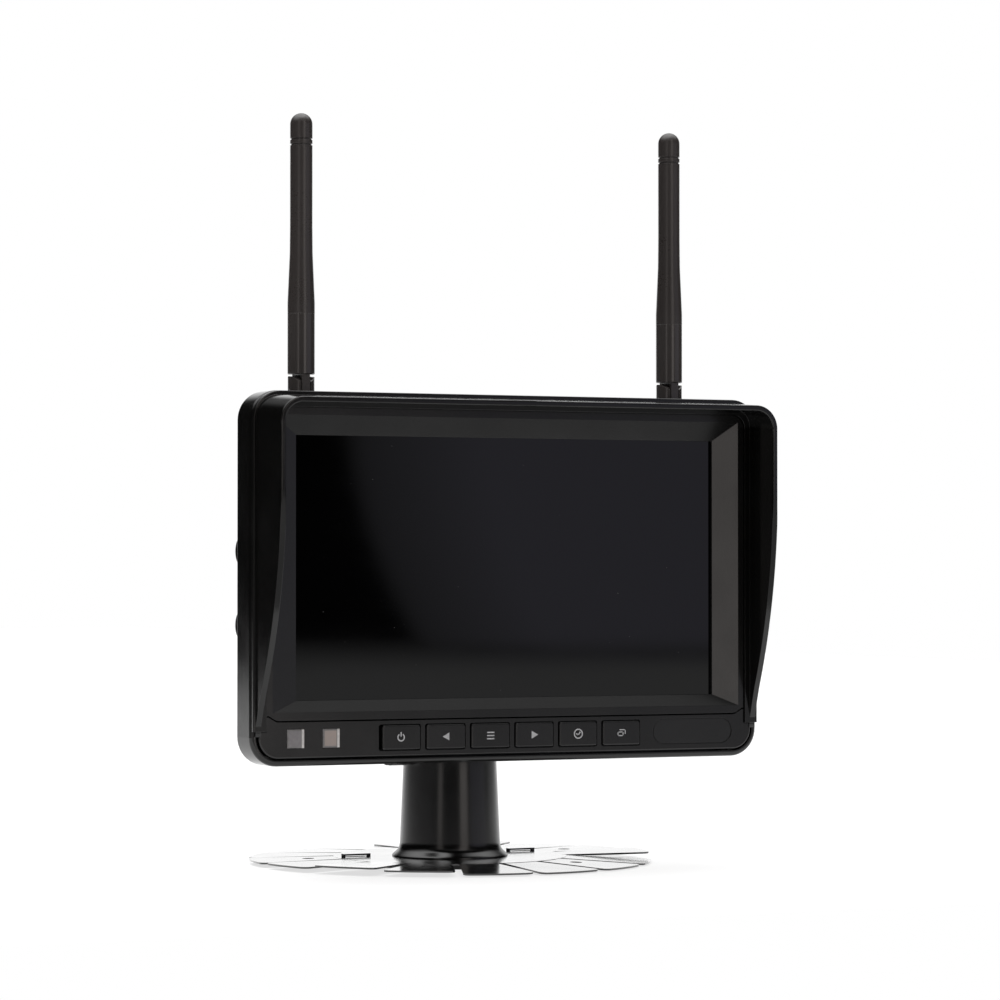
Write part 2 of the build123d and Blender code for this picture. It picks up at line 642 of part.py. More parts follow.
def make_finger(index):
    """One finger, flat and pointing along +X, bent at its root and turned into place."""
    half = math.pi / FINGERS
    root = HUB_R - 2.3
    far = PLATE_R + 8
    inset = SLIT_W / 2 / math.cos(half)
    y_root = root * math.tan(half) - inset
    y_far = far * math.tan(half) - inset
    wedge = make_face(Polyline((root, -y_root), (far, -y_far), (far, y_far), (root, y_root), close=True))
    sketch = wedge & Circle(PLATE_R)
    corners = sketch.vertices().sort_by(Axis.X)[2:]
    sketch = fillet(corners, 2.5)
    finger = extrude(Plane(origin=(0, 0, PLATE_BOTTOM)) * sketch, PLATE_T)
    if index in SCREWED_FINGERS:
        finger -= post_rod(2.1, -1, 5, FINGER_HOLE_R, 0)
    bend = math.degrees(math.atan2(FINGER_BENDS[index], PLATE_R - root))
    hinge = Axis((root, 0, PLATE_BOTTOM), (0, -1, 0))
    finger = finger.rotate(hinge, bend)
    return finger.rotate(Axis.Z, (index + 0.5) * 360 / FINGERS)


def make_bridge(side):
    """Raised strip over a slot in the plate, for a cable tie."""
    top = PLATE_TOP + BRIDGE_RISE + PLATE_T
    strip = Pos(side * BRIDGE_X, BRIDGE_Y, top - PLATE_T / 2) * Box(BRIDGE_L, BRIDGE_W, PLATE_T)
    for end in (-1, 1):
        x = side * BRIDGE_X + end * (BRIDGE_L / 2 - PLATE_T / 2)
        strip += Pos(x, BRIDGE_Y, (PLATE_BOTTOM + top) / 2) * Box(PLATE_T, BRIDGE_W, top - PLATE_BOTTOM)
    return strip


def make_adhesive_pad():
    """Foam pad under the hub, with holes round the screw heads."""
    pad = post_rod(PAD_R, 0, PAD_T)
    for x, y in foot_screw_spots():
        pad -= post_rod(3.4, -1, PAD_T + 1, x, y)
    return pad


def make_post():
    """Hollow column: flared foot, slight taper and a closed top with the swivel hole."""
    foot = PLATE_TOP
    flare = Spline((POST_FOOT_R, foot + 0.4), (POST_LOW_R + 0.75, foot + 2.3), (POST_LOW_R, foot + 5.2),
                   tangents=((-0.75, 1), (-0.02, 1)))
    body = (Line((0, foot), (POST_FOOT_R, foot)) + Line((POST_FOOT_R, foot), (POST_FOOT_R, foot + 0.4)) + flare
            + Line((POST_LOW_R, foot + 5.2), (POST_TOP_R, POST_TOP)) + Line((POST_TOP_R, POST_TOP), (0, POST_TOP))
            + Line((0, POST_TOP), (0, foot)))
    post = revolve(Plane.XZ * make_face(body), Axis.Z)
    inner_low = POST_LOW_R - POST_WALL
    inner_top = POST_TOP_R - POST_WALL
    hollow = Polyline((0, foot - 1), (inner_low, foot - 1), (inner_low, foot + 5), (inner_top, POST_TOP - 3),
                      (0, POST_TOP - 3), close=True)
    post -= revolve(Plane.XZ * make_face(hollow), Axis.Z)
    for x, y in foot_screw_spots():
        post += post_rod(3.5, foot, foot + 12, x, y)
        post -= post_rod(1.3, foot - 1, foot + 10, x, y)
    post -= post_rod(4 + RUNNING, POST_TOP - 4, POST_TOP + 1)
    return post


def make_foot_screws():
    parts = []
    for x, y in foot_screw_spots():
        parts.append(post_rod(2.9, 0.3, PAD_T, x, y) + post_rod(1.25, PAD_T - 0.2, PLATE_TOP + 8, x, y))
    return Compound(children=parts)


def make_swivel_head():
    """Disc that turns on the post, with two cheeks for the tilt bolt and a pivot stub below."""
    low = POST_TOP + 0.2
    head = post_rod(15.5, low, low + 2.4)
    head = fillet(head.edges().filter_by(GeomType.CIRCLE), 0.6)
    for side in (-1, 1):
        inner = side * CHEEK_IN
        outer = side * CHEEK_OUT
        cheek = cross_rod(6, inner, outer, 0, TILT_Z)
        middle = (inner + outer) / 2
        cheek += Pos(middle, 0, (low + 1 + TILT_Z) / 2) * Box(CHEEK_OUT - CHEEK_IN, 12, TILT_Z - low - 1)
        head += cheek
    head += post_rod(4, POST_TOP - 3.4, low + 1)
    head -= post_rod(1.55, POST_TOP - 5, low + 1.8)
    return head - cross_rod(BOLT_R + RUNNING, -20, 20, 0, TILT_Z)


def make_swivel_washer():
    return post_rod(7, POST_TOP - 4.6, POST_TOP - 3.4) - post_rod(1.7, POST_TOP - 6, POST_TOP)


def make_swivel_screw():
    return post_rod(3, POST_TOP - 7, POST_TOP - 4.6) + post_rod(1.5, POST_TOP - 5, POST_TOP + 1.6)


def make_tilt_bolt():
    """Bolt across the cheeks: round head on one side, threaded end inside the knob."""
    return cross_rod(3.6, CHEEK_OUT, CHEEK_OUT + 2.4, 0, TILT_Z) + cross_rod(BOLT_R, -22, CHEEK_OUT + 0.2, 0, TILT_Z)


def make_tilt_knob():
    """Scalloped grip of the clamp knob, outside the post."""
    grip = cross_rod(KNOB_R, KNOB_OUT, KNOB_IN, 0, TILT_Z)
    grip = fillet(grip.edges().filter_by(GeomType.CIRCLE), 1.2)
    scallops = 10
    for i in range(scallops):
        angle = math.radians(360 / scallops * (i + 0.5))
        y = (KNOB_R + 1.1) * math.cos(angle)
        z = (KNOB_R + 1.1) * math.sin(angle)
        grip -= cross_rod(1.9, KNOB_OUT - 1, KNOB_IN + 1, y, TILT_Z + z)
    return grip - cross_rod(3.3, KNOB_OUT + 1.8, -CHEEK_OUT, 0, TILT_Z)


def make_knob_collar():
    """Spacer between the grip and the cheek."""
    return cross_rod(5.5, KNOB_IN, -CHEEK_OUT - 0.3, 0, TILT_Z) - cross_rod(3.3, KNOB_IN - 1, -CHEEK_OUT, 0, TILT_Z)


def make_knob_insert():
    """Brass thread moulded into the knob."""
    sleeve = cross_rod(3.3, KNOB_OUT + 1.8, -CHEEK_OUT - 0.6, 0, TILT_Z)
    return sleeve - cross_rod(BOLT_R + RUNNING, KNOB_OUT + 2.2, 0, 0, TILT_Z)


def make_slide_bracket():
    """T-shaped tongue for the monitor's back, a plate behind it and the arm to the tilt bolt."""
    bottom = BACK_BOTTOM + 1
    middle = (TONGUE_TOP + bottom) / 2
    height = TONGUE_TOP - bottom
    bracket = slab(TONGUE_W, height, 19.2, 22.2, 0, middle)
    bracket += slab(TONGUE_NECK_W, height, 22, 26.5, 0, middle)
    plate = rounded_slab(26, TONGUE_TOP + 2, bottom, 3, 26, 29)
    bracket += plate
    arm_half = CHEEK_IN - 0.3
    plane = Plane(origin=(-arm_half, 0, TILT_Z), x_dir=(0, 1, 0), z_dir=(1, 0, 0))
    plate_y = SCREEN_Y + 28.5
    arm = make_face(Polyline((1.6, -4.9), (plate_y, 2), (plate_y, 20), (1.6, 4.9), close=True))
    bracket += extrude(plane * (arm + Circle(5.2)), 2 * arm_half)
    return bracket - cross_rod(BOLT_R + RUNNING, -20, 20, 0, TILT_Z)


# --- Write every node --------------------------------------------------------------------------------
def main():
    os.makedirs("parts", exist_ok=True)
    save("rear_shell", make_rear_shell())
    save("screen_bezel", make_screen_bezel())
    save("control_panel", make_control_panel())
    save("badge_plate", make_badge_plate())
    save("ir_window", make_window(IR_WINDOW_X))
    save("light_window", make_window(LIGHT_WINDOW_X))
    for index, name in enumerate(KEY_NAMES):
        save(f"key_{name}", make_key(index))
        save(f"plunger_{name}", make_plunger(index))
    save("key_switches", make_key_switches())
    save("key_board", make_key_board())
    save("ir_receiver", make_ir_receiver())
    save("light_sensor", make_light_sensor())
    save("lcd_glass", make_lcd_glass())
    save("lcd_panel", make_lcd_panel())
    save("main_board", make_main_board())
    save("radio_module", make_radio_module())
    save("speaker", make_speaker())
    save("power_socket", make_power_socket())
    save("power_pin", make_power_pin())
    save("case_screws", make_case_screws())
    save("board_screws", make_board_screws())
    save("side_inserts", make_side_inserts())
    save("sun_hood", make_sun_hood())
    for side, name in ((-1, "left"), (1, "right")):
        save(f"antenna_socket_{name}", make_antenna_socket(side))
        save(f"antenna_fork_{name}", make_antenna_fork(side))
        save(f"antenna_pin_{name}", make_antenna_pin(side))
        save(f"antenna_elbow_{name}", make_antenna_elbow(side))
        save(f"antenna_whip_{name}", make_antenna_whip(side))
        save(f"antenna_element_{name}", make_antenna_element(side))
    save("base_plate", make_base_plate())
    save("adhesive_pad", make_adhesive_pad())
    save("post", make_post())
    save("foot_screws", make_foot_screws())
    save("swivel_head", make_swivel_head())
    save("swivel_washer", make_swivel_washer())
    save("swivel_screw", make_swivel_screw())
    save("tilt_bolt", make_tilt_bolt())
    save("tilt_knob", make_tilt_knob())
    save("knob_collar", make_knob_collar())
    save("knob_insert", make_knob_insert())
    save("slide_bracket", make_slide_bracket())


main()
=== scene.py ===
import json
import math

import bmesh
import bpy
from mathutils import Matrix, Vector


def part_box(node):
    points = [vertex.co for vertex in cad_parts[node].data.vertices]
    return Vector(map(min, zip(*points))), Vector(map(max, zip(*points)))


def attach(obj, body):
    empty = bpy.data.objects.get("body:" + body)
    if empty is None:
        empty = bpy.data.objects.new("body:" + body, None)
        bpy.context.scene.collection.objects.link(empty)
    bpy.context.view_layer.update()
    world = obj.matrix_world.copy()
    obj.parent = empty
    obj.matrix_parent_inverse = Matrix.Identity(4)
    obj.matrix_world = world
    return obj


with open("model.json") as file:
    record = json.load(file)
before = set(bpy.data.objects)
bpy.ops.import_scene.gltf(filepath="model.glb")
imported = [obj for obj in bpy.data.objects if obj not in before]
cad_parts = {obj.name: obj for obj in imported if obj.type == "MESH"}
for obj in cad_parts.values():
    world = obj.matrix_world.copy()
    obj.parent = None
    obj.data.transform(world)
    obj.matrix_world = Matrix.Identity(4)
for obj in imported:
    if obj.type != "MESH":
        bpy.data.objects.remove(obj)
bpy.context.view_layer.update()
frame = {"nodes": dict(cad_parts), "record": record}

# Wireless rear-view monitor: sun hood, six keys, two folding antennas and a bendable finger stand.
# Metres, in the frame of the CAD model: +Z up, the screen faces -Y, the origin under the post.

MM = 0.001
WHITE = (1.0, 1.0, 1.0)

CAMERA_TURN = math.radians(25.8)      # the camera stands this far round to the viewer's left
CAMERA_PITCH = math.radians(0.989)    # and looks up by this much
CAMERA_DISTANCE = 1.316               # from the middle of the screen opening
CAMERA_SIDE_STEP = 0.00309            # a shift to the viewer's left that sets the framing
CAMERA_LENS = 141.19                  # millimetres, for a film 36 mm wide
OPENING_AHEAD = 1.25 * MM             # the opening's front edge stands this far before the glass

KEYS = ["power", "left", "menu", "right", "ok", "channel"]


# --- Camera ---------------------------------------------------------------------------------------
def make_camera():
    """Long lens at the height of the screen's centre."""
    ahead = Vector((math.sin(CAMERA_TURN), math.cos(CAMERA_TURN), 0))
    right = Vector((math.cos(CAMERA_TURN), -math.sin(CAMERA_TURN), 0))
    glass_low, glass_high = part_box("lcd_glass")
    centre = (glass_low + glass_high) / 2
    centre.y = glass_low.y - OPENING_AHEAD
    data = bpy.data.cameras.new("camera")
    data.lens = CAMERA_LENS
    data.sensor_width = 36.0
    data.clip_start = 0.05
    data.clip_end = 20.0
    camera = bpy.data.objects.new("camera", data)
    bpy.context.scene.collection.objects.link(camera)
    camera.location = centre - ahead * CAMERA_DISTANCE - right * CAMERA_SIDE_STEP
    look = ahead * math.cos(CAMERA_PITCH) + Vector((0, 0, math.sin(CAMERA_PITCH)))
    camera.rotation_mode = "QUATERNION"
    camera.rotation_quaternion = look.to_track_quat("-Z", "Y")
    bpy.context.scene.camera = camera


# --- Node helpers ---------------------------------------------------------------------------------
class Tree:
    """Short names for building one node tree; an item fed in is a number, a colour or an output."""

    def __init__(self, node_tree):
        self.nodes = node_tree.nodes
        self.links = node_tree.links

    def add(self, kind, **values):
        node = self.nodes.new(kind)
        for key, value in values.items():
            setattr(node, key, value)
        return node

    def feed(self, item, socket):
        """Link a socket, or set a plain number or colour."""
        if isinstance(item, (int, float)):
            socket.default_value = item
        elif isinstance(item, tuple):
            socket.default_value = (*item, 1) if len(socket.default_value) == 4 else item
        else:
            self.links.new(item, socket)

    def maths(self, operation, first, second=0.0):
        node = self.add("ShaderNodeMath", operation=operation)
        self.feed(first, node.inputs[0])
        self.feed(second, node.inputs[1])
        return node.outputs[0]

    def spread(self, value, low, high, out_low, out_high, smooth=False):
        """Map a value from one range to another, held at the ends."""
        node = self.add("ShaderNodeMapRange")
        if smooth:
            node.interpolation_type = "SMOOTHSTEP"
        ends = {"From Min": low, "From Max": high, "To Min": out_low, "To Max": out_high}
        for key, number in ends.items():
            node.inputs[key].default_value = number
        self.feed(value, node.inputs["Value"])
        return node.outputs["Result"]

    def blend(self, factor, first, second):
        """Colour mixed between two colours by a factor."""
        node = self.add("ShaderNodeMix", data_type="RGBA")
        self.feed(factor, node.inputs[0])
        self.feed(first, node.inputs[6])
        self.feed(second, node.inputs[7])
        return node.outputs[2]

    def dot(self, first, second):
        node = self.add("ShaderNodeVectorMath", operation="DOT_PRODUCT")
        self.feed(first, node.inputs[0])
        self.feed(second, node.inputs[1])
        return node.outputs["Value"]

    def split(self, vector):
        node = self.add("ShaderNodeSeparateXYZ")
        self.feed(vector, node.inputs[0])
        return node.outputs


class Surface(Tree):
    """One material: a Principled shader with procedural colour, gloss and relief."""

    def __init__(self, name):
        self.material = bpy.data.materials.new(name)
        self.material.use_nodes = True
        super().__init__(self.material.node_tree)
        self.shader = self.nodes["Principled BSDF"]
        self.place = self.add("ShaderNodeTexCoord").outputs["Object"]

    def set(self, **values):
        for key, value in values.items():
            self.feed(value, self.shader.inputs[key.replace("_", " ")])

    def noise(self, scale, detail=4.0, rough=0.55, stretch=None):
        """Noise over the object's own coordinates; stretch scales each axis."""
        node = self.add("ShaderNodeTexNoise")
        node.inputs["Scale"].default_value = scale
        node.inputs["Detail"].default_value = detail
        node.inputs["Roughness"].default_value = rough
        place = self.place
        if stretch:
            mapping = self.add("ShaderNodeMapping")
            mapping.inputs["Scale"].default_value = stretch
            self.feed(place, mapping.inputs["Vector"])
            place = mapping.outputs["Vector"]
        self.feed(place, node.inputs["Vector"])
        return node.outputs["Fac"]

    def soft_edges(self, radius):
        """Normal that rounds the edges off, and a value that is about 1 on edges and 0 on flats."""
        bevel = self.add("ShaderNodeBevel", samples=6)
        bevel.inputs["Radius"].default_value = radius
        true_normal = self.add("ShaderNodeNewGeometry").outputs["Normal"]
        away = self.maths("SUBTRACT", 1.0, self.dot(bevel.outputs["Normal"], true_normal))
        return bevel.outputs["Normal"], self.spread(away, 0.01, 0.15, 0.0, 1.0)

    def relief(self, height, strength, distance, normal=None):
        node = self.add("ShaderNodeBump")
        node.inputs["Strength"].default_value = strength
        node.inputs["Distance"].default_value = distance
        self.feed(height, node.inputs["Height"])
        if normal is not None:
            self.feed(normal, node.inputs["Normal"])
        self.feed(node.outputs["Normal"], self.shader.inputs["Normal"])


# --- Materials ------------------------------------------------------------------------------------
def moulded(name, dark, light, rough, grain=1500.0, depth=0.02, round_edge=0.15):
    """Moulded plastic: faint colour drift, fine grain, uneven gloss and slightly polished edges.

    The depth of the grain and the rounding of the edges are in millimetres.
    """
    s = Surface(name)
    normal, edge = s.soft_edges(round_edge * MM)
    drift = s.spread(s.noise(14.0, 3.0), 0.35, 0.65, 0.0, 1.0)
    base = s.blend(drift, dark, light)
    pale = tuple(c * 1.8 + 0.006 for c in light)
    s.set(Base_Color=s.blend(s.maths("MULTIPLY", edge, 0.3), base, pale))
    smudge = s.spread(s.noise(45.0, 5.0, 0.6), 0.3, 0.7, rough - 0.04, rough + 0.04)
    speck = s.spread(s.noise(grain * 1.6, 2.0), 0.35, 0.65, -0.015, 0.015)
    uneven = s.maths("ADD", smudge, speck)
    s.set(Roughness=s.maths("SUBTRACT", uneven, s.maths("MULTIPLY", edge, 0.06)))
    s.relief(s.noise(grain, 3.0, 0.65), 0.5, depth * MM, normal)
    s.set(Specular_IOR_Level=0.5)
    return s.material


def screen_glass():
    """Hard-coated glass over an unlit panel: almost black, faint wipe marks and a few dust specks."""
    s = Surface("screen_glass")
    dust = s.spread(s.noise(900.0, 1.0, 0.4), 0.79, 0.83, 0.0, 1.0)
    s.set(Base_Color=s.blend(dust, (0.0003, 0.0003, 0.0004), (0.05, 0.05, 0.048)))
    wipe = s.noise(18.0, 6.0, 0.6, (1.0, 1.0, 3.0))
    haze = s.spread(wipe, 0.3, 0.7, 0.02, 0.04)
    s.set(Roughness=s.maths("ADD", haze, s.maths("MULTIPLY", dust, 0.4)))
    s.relief(s.noise(3000.0, 2.0), 0.04, 0.004 * MM)
    s.set(Specular_IOR_Level=0.5)
    return s.material


def window_plastic():
    """Clear light pipes, one for the remote receiver and one for the light sensor.

    The paler frosted middle of the mouldings shows through the front, and a painted highlight stands
    for the lit side wall inside each one.
    Distances across and up are in millimetres from the middle of each window.
    """
    s = Surface("clear_window")
    place = s.split(s.place)
    colour = (0.15, 0.144, 0.144)
    windows = (("ir_window", (0.18, 0.168, 0.176), 0.9), ("light_window", (0.32, 0.264, 0.238), 1.0))
    for node, middle, amount in windows:
        low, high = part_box(node)
        centre = (low + high) / 2
        across = s.maths("MULTIPLY", s.maths("SUBTRACT", place["X"], centre.x), 1000.0)
        up = s.maths("MULTIPLY", s.maths("SUBTRACT", place["Z"], centre.z), 1000.0)
        here = s.maths("LESS_THAN", s.maths("ABSOLUTE", across), 5.0)
        inner_x = s.spread(s.maths("ABSOLUTE", s.maths("ADD", across, 0.35)), 2.0, 2.2, 1.0, 0.0)
        inner_z = s.spread(s.maths("ABSOLUTE", up), 2.4, 2.6, 1.0, 0.0)
        inner = s.maths("MULTIPLY", s.maths("MULTIPLY", inner_x, inner_z), here)
        colour = s.blend(s.maths("MULTIPLY", inner, amount), colour, middle)
        # Painted highlight: a pale band just right of the frosted middle stands for the lit side wall
        # inside the moulding.
        painted_highlight_start = s.spread(across, 1.95, 2.1, 0.0, 1.0)
        painted_highlight_end = s.spread(across, 2.75, 2.9, 1.0, 0.0)
        colour = s.blend(s.maths("MULTIPLY", painted_highlight_start, painted_highlight_end), colour, (0.62, 0.60, 0.585))
    cloud = s.spread(s.noise(900.0, 4.0), 0.35, 0.65, 0.0, 0.35)
    s.set(Base_Color=s.blend(cloud, colour, (0.26, 0.25, 0.25)))
    s.set(Roughness=s.spread(s.noise(300.0), 0.3, 0.7, 0.12, 0.25))
    normal, _ = s.soft_edges(0.25 * MM)
    s.relief(s.noise(1200.0), 0.15, 0.02 * MM, normal)
    s.set(IOR=1.49, Coat_Weight=0.3, Coat_Roughness=0.05)
    return s.material


def sheet_paint():
    """Gloss black paint on thin steel: orange peel, hair scratches and faint wear on the cut edges."""
    s = Surface("plate_paint")
    normal, edge = s.soft_edges(0.12 * MM)
    scratch = s.spread(s.noise(60.0, 8.0, 0.7, (1.0, 14.0, 1.0)), 0.60, 0.66, 0.0, 1.0)
    drift = s.spread(s.noise(25.0), 0.35, 0.65, 0.0, 1.0)
    base = s.blend(drift, (0.003, 0.003, 0.003), (0.005, 0.005, 0.005))
    base = s.blend(s.maths("MULTIPLY", scratch, 0.2), base, (0.03, 0.03, 0.03))
    s.set(Base_Color=s.blend(s.maths("MULTIPLY", edge, 0.06), base, (0.04, 0.039, 0.037)))
    smudge = s.spread(s.noise(80.0), 0.3, 0.7, 0.15, 0.22)
    s.set(Roughness=s.maths("ADD", smudge, s.maths("MULTIPLY", scratch, 0.1)))
    s.relief(s.noise(700.0, 2.0), 0.1, 0.003 * MM, normal)
    s.set(IOR=1.6, Coat_Weight=1.0, Coat_Roughness=0.11)
    return s.material


def metal(name, colour, rough):
    """Turned or plated metal: fine tool marks, uneven shine and darker stains."""
    s = Surface(name)
    stain = s.spread(s.noise(220.0, 5.0), 0.35, 0.7, 0.0, 0.6)
    s.set(Base_Color=s.blend(stain, colour, tuple(c * 0.55 for c in colour)), Metallic=1.0)
    s.set(Roughness=s.spread(s.noise(900.0, 3.0), 0.3, 0.7, rough - 0.06, rough + 0.08))
    s.relief(s.noise(2500.0, 2.0, 0.5, (1.0, 6.0, 1.0)), 0.3, 0.01 * MM)
    return s.material


def board_mask():
    """Green solder mask with the faint relief of tracks under it."""
    s = Surface("circuit_board")
    tracks = s.spread(s.noise(350.0, 1.0, 0.2, (1.0, 1.0, 4.0)), 0.5, 0.53, 0.0, 1.0)
    s.set(Base_Color=s.blend(tracks, (0.008, 0.055, 0.025), (0.015, 0.10, 0.045)))
    s.set(Roughness=s.spread(s.noise(120.0), 0.3, 0.7, 0.25, 0.4))
    s.relief(tracks, 0.3, 0.03 * MM)
    return s.material


def foam():
    """Closed-cell foam tape."""
    s = Surface("foam_pad")
    cells = s.noise(1600.0, 3.0, 0.7)
    s.set(Base_Color=s.blend(cells, (0.010, 0.010, 0.010), (0.035, 0.035, 0.034)), Roughness=0.92)
    s.relief(cells, 0.8, 0.08 * MM)
    return s.material


def symbol_ink():
    """Pale grey printed ink, slightly uneven."""
    s = Surface("symbol_ink")
    cover = s.spread(s.noise(1500.0, 3.0), 0.3, 0.7, 0.0, 1.0)
    s.set(Base_Color=s.blend(cover, (0.36, 0.36, 0.37), (0.50, 0.50, 0.51)))
    s.set(Roughness=s.spread(s.noise(500.0), 0.3, 0.7, 0.5, 0.65))
    s.relief(cover, 0.2, 0.01 * MM)
    return s.material


def make_materials():
    """One material for each slot of the record."""
    black = (0.0022, 0.0021, 0.0020)
    soot = (0.0032, 0.0031, 0.0030)
    plastics = {
        # slot: dark colour, light colour, roughness, then grain, its depth and the rounding of edges
        "case_plastic": (black, soot, 0.13, 1700.0, 0.0015),
        "face_plastic": ((0.0036, 0.0035, 0.0034), (0.0050, 0.0048, 0.0047), 0.21, 2000.0, 0.004),
        "hood_plastic": (black, soot, 0.14, 1300.0, 0.001, 0.2),
        "key_plastic": ((0.0036, 0.0035, 0.0036), (0.0050, 0.0048, 0.0050), 0.22, 1900.0, 0.004, 0.25),
        "gloss_black": ((0.006, 0.006, 0.006), (0.008, 0.008, 0.008), 0.22, 900.0, 0.004),
        "stand_plastic": (black, soot, 0.22, 1500.0, 0.004),
        "antenna_rubber": ((0.0360, 0.0310, 0.0296), (0.0430, 0.0372, 0.0355), 0.30, 1200.0, 0.004),
        "antenna_plastic": ((0.0470, 0.0420, 0.0404), (0.0550, 0.0492, 0.0473), 0.18, 1000.0, 0.002),
        "lcd_module": ((0.004, 0.004, 0.005), (0.006, 0.006, 0.007), 0.35),
        "speaker_cone": ((0.012, 0.012, 0.012), (0.020, 0.020, 0.019), 0.75, 700.0, 0.05),
        "switch_plastic": ((0.020, 0.020, 0.020), (0.028, 0.028, 0.027), 0.45),
    }
    metals = {
        "tin_plate": ((0.62, 0.62, 0.60), 0.32),
        "brass_parts": ((0.66, 0.48, 0.20), 0.30),
        "black_steel": ((0.035, 0.035, 0.036), 0.35),
        "bright_steel": ((0.52, 0.52, 0.53), 0.28),
    }
    materials = {slot: moulded(slot, *values) for slot, values in plastics.items()}
    materials.update({slot: metal(slot, *values) for slot, values in metals.items()})
    materials.update(screen_glass=screen_glass(), clear_window=window_plastic(),
                     circuit_board=board_mask(), plate_paint=sheet_paint(), foam_pad=foam())
    return materials


def set_material(obj, material):
    obj.data.materials.clear()
    obj.data.materials.append(material)


def finish_nodes(materials):
    """Each CAD node takes the material of its slot in the record."""
    for part in frame["record"]["subparts"]:
        set_material(frame["nodes"][part["node"]], materials[part["material_slot"]])


# --- Printed symbols on the keys ------------------------------------------------------------------
def bar(x_low, x_high, z_low, z_high):
    return [(x_low, z_low), (x_high, z_low), (x_high, z_high), (x_low, z_high)]


def ring(radius, width, start, end):
    """Quads of an arc-shaped band between two angles in degrees."""
    steps = 36
    inner, outer = radius - width / 2, radius + width / 2
    quads = []
    for i in range(steps):
        a = math.radians(start + (end - start) * i / steps)
        b = math.radians(start + (end - start) * (i + 1) / steps)
        corners = ((inner, a), (outer, a), (outer, b), (inner, b))
        quads.append([(r * math.cos(turn), r * math.sin(turn)) for r, turn in corners])
    return quads


def stroke(start, end, width):
    """Straight stroke with square ends."""
    along = (Vector(end) - Vector(start)).normalized() * width / 2
    side = Vector((-along.y, along.x))
    a, b = Vector(start) - along, Vector(end) + along
    return [tuple(a - side), tuple(b - side), tuple(b + side), tuple(a + side)]


def symbol_outlines(key):
    """Flat polygons in millimetres from the key's centre."""
    line = 0.42
    if key == "power":
        return ring(1.15, line, 122, 418) + [bar(-line / 2, line / 2, 0.25, 1.75)]
    if key == "left":
        return [[(1.15, -1.3), (1.15, 1.3), (-1.25, 0)]]
    if key == "right":
        return [[(-1.15, 1.3), (-1.15, -1.3), (1.25, 0)]]
    if key == "menu":
        return [bar(-1.35, 1.35, z - line / 2, z + line / 2) for z in (-1.05, 0, 1.05)]
    if key == "ok":
        tick = [(-0.62, -0.02), (-0.15, -0.5), (0.68, 0.5)]
        return ring(1.5, line, 0, 360) + [stroke(a, b, line) for a, b in zip(tick, tick[1:])]
    return overlapping_frames()


def overlapping_frames():
    """The channel key's symbol: a whole frame, and behind it the top and right of a second one."""
    line = 0.36
    w, h = 1.15, 0.8
    boxes = []
    for x, z, whole in ((-0.35, -0.3, True), (0.45, 0.45, False)):
        boxes.append(bar(x - w, x + w, z + h - line, z + h))
        boxes.append(bar(x + w - line, x + w, z - h, z + h))
        if whole:
            boxes.append(bar(x - w, x + w, z - h, z - h + line))
            boxes.append(bar(x - w, x - w + line, z - h, z + h))
    return boxes


def make_symbol(key, material):
    """Thin raised print on the front of one key."""
    low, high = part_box("key_" + key)
    centre = (low + high) / 2
    stands_out = 0.004 * MM
    thick = 0.03 * MM
    front = low.y - stands_out
    mesh = bmesh.new()
    for outline in symbol_outlines(key):
        points = [Vector((centre.x + x * MM, front, centre.z + z * MM)) for x, z in outline]
        face = mesh.faces.new([mesh.verts.new(p) for p in points])
        made = bmesh.ops.extrude_face_region(mesh, geom=[face])
        moved = [item for item in made["geom"] if isinstance(item, bmesh.types.BMVert)]
        bmesh.ops.translate(mesh, verts=moved, vec=(0, thick, 0))
    bmesh.ops.remove_doubles(mesh, verts=mesh.verts, dist=0.001 * MM)
    bmesh.ops.recalc_face_normals(mesh, faces=mesh.faces)
    data = bpy.data.meshes.new("symbol_" + key)
    mesh.to_mesh(data)
    mesh.free()
    symbol = bpy.data.objects.new("symbol_" + key, data)
    bpy.context.scene.collection.objects.link(symbol)
    set_material(symbol, material)
    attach(symbol, "key_" + key)


# --- Stage ----------------------------------------------------------------------------------------
TOP_STRENGTH = 2.8
BACK_STRENGTH = 1.12
DARKEST_SIDE = 0.008
WALL_STRENGTH = 0.40
WALL_COLOUR = (0.92, 0.90, 1.08)
WALL_FOOT = (-0.026, -0.018)          # heights of a ray between which the wall gives way to the ground
GROUND_STRENGTH = 0.47


def make_floor():
    """White table top that reaches from just before the object to far behind it."""
    mesh = bpy.data.meshes.new("floor")
    left, right, near, far = -0.85, 1.75, -0.22, 5.0
    corners = [(left, near, 0), (right, near, 0), (right, far, 0), (left, far, 0)]
    mesh.from_pydata(corners, [], [(0, 1, 2, 3)])
    floor = bpy.data.objects.new("floor", mesh)
    bpy.context.scene.collection.objects.link(floor)
    floor.location.z = -0.05 * MM
    s = Surface("floor_white")
    grain = s.spread(s.noise(3.0), 0.3, 0.7, 0.0, 1.0)
    s.set(Base_Color=s.blend(grain, (0.33, 0.33, 0.33), (0.37, 0.37, 0.37)), Roughness=0.9)
    s.set(Emission_Color=WHITE, Emission_Strength=0.68)
    set_material(floor, s.material)


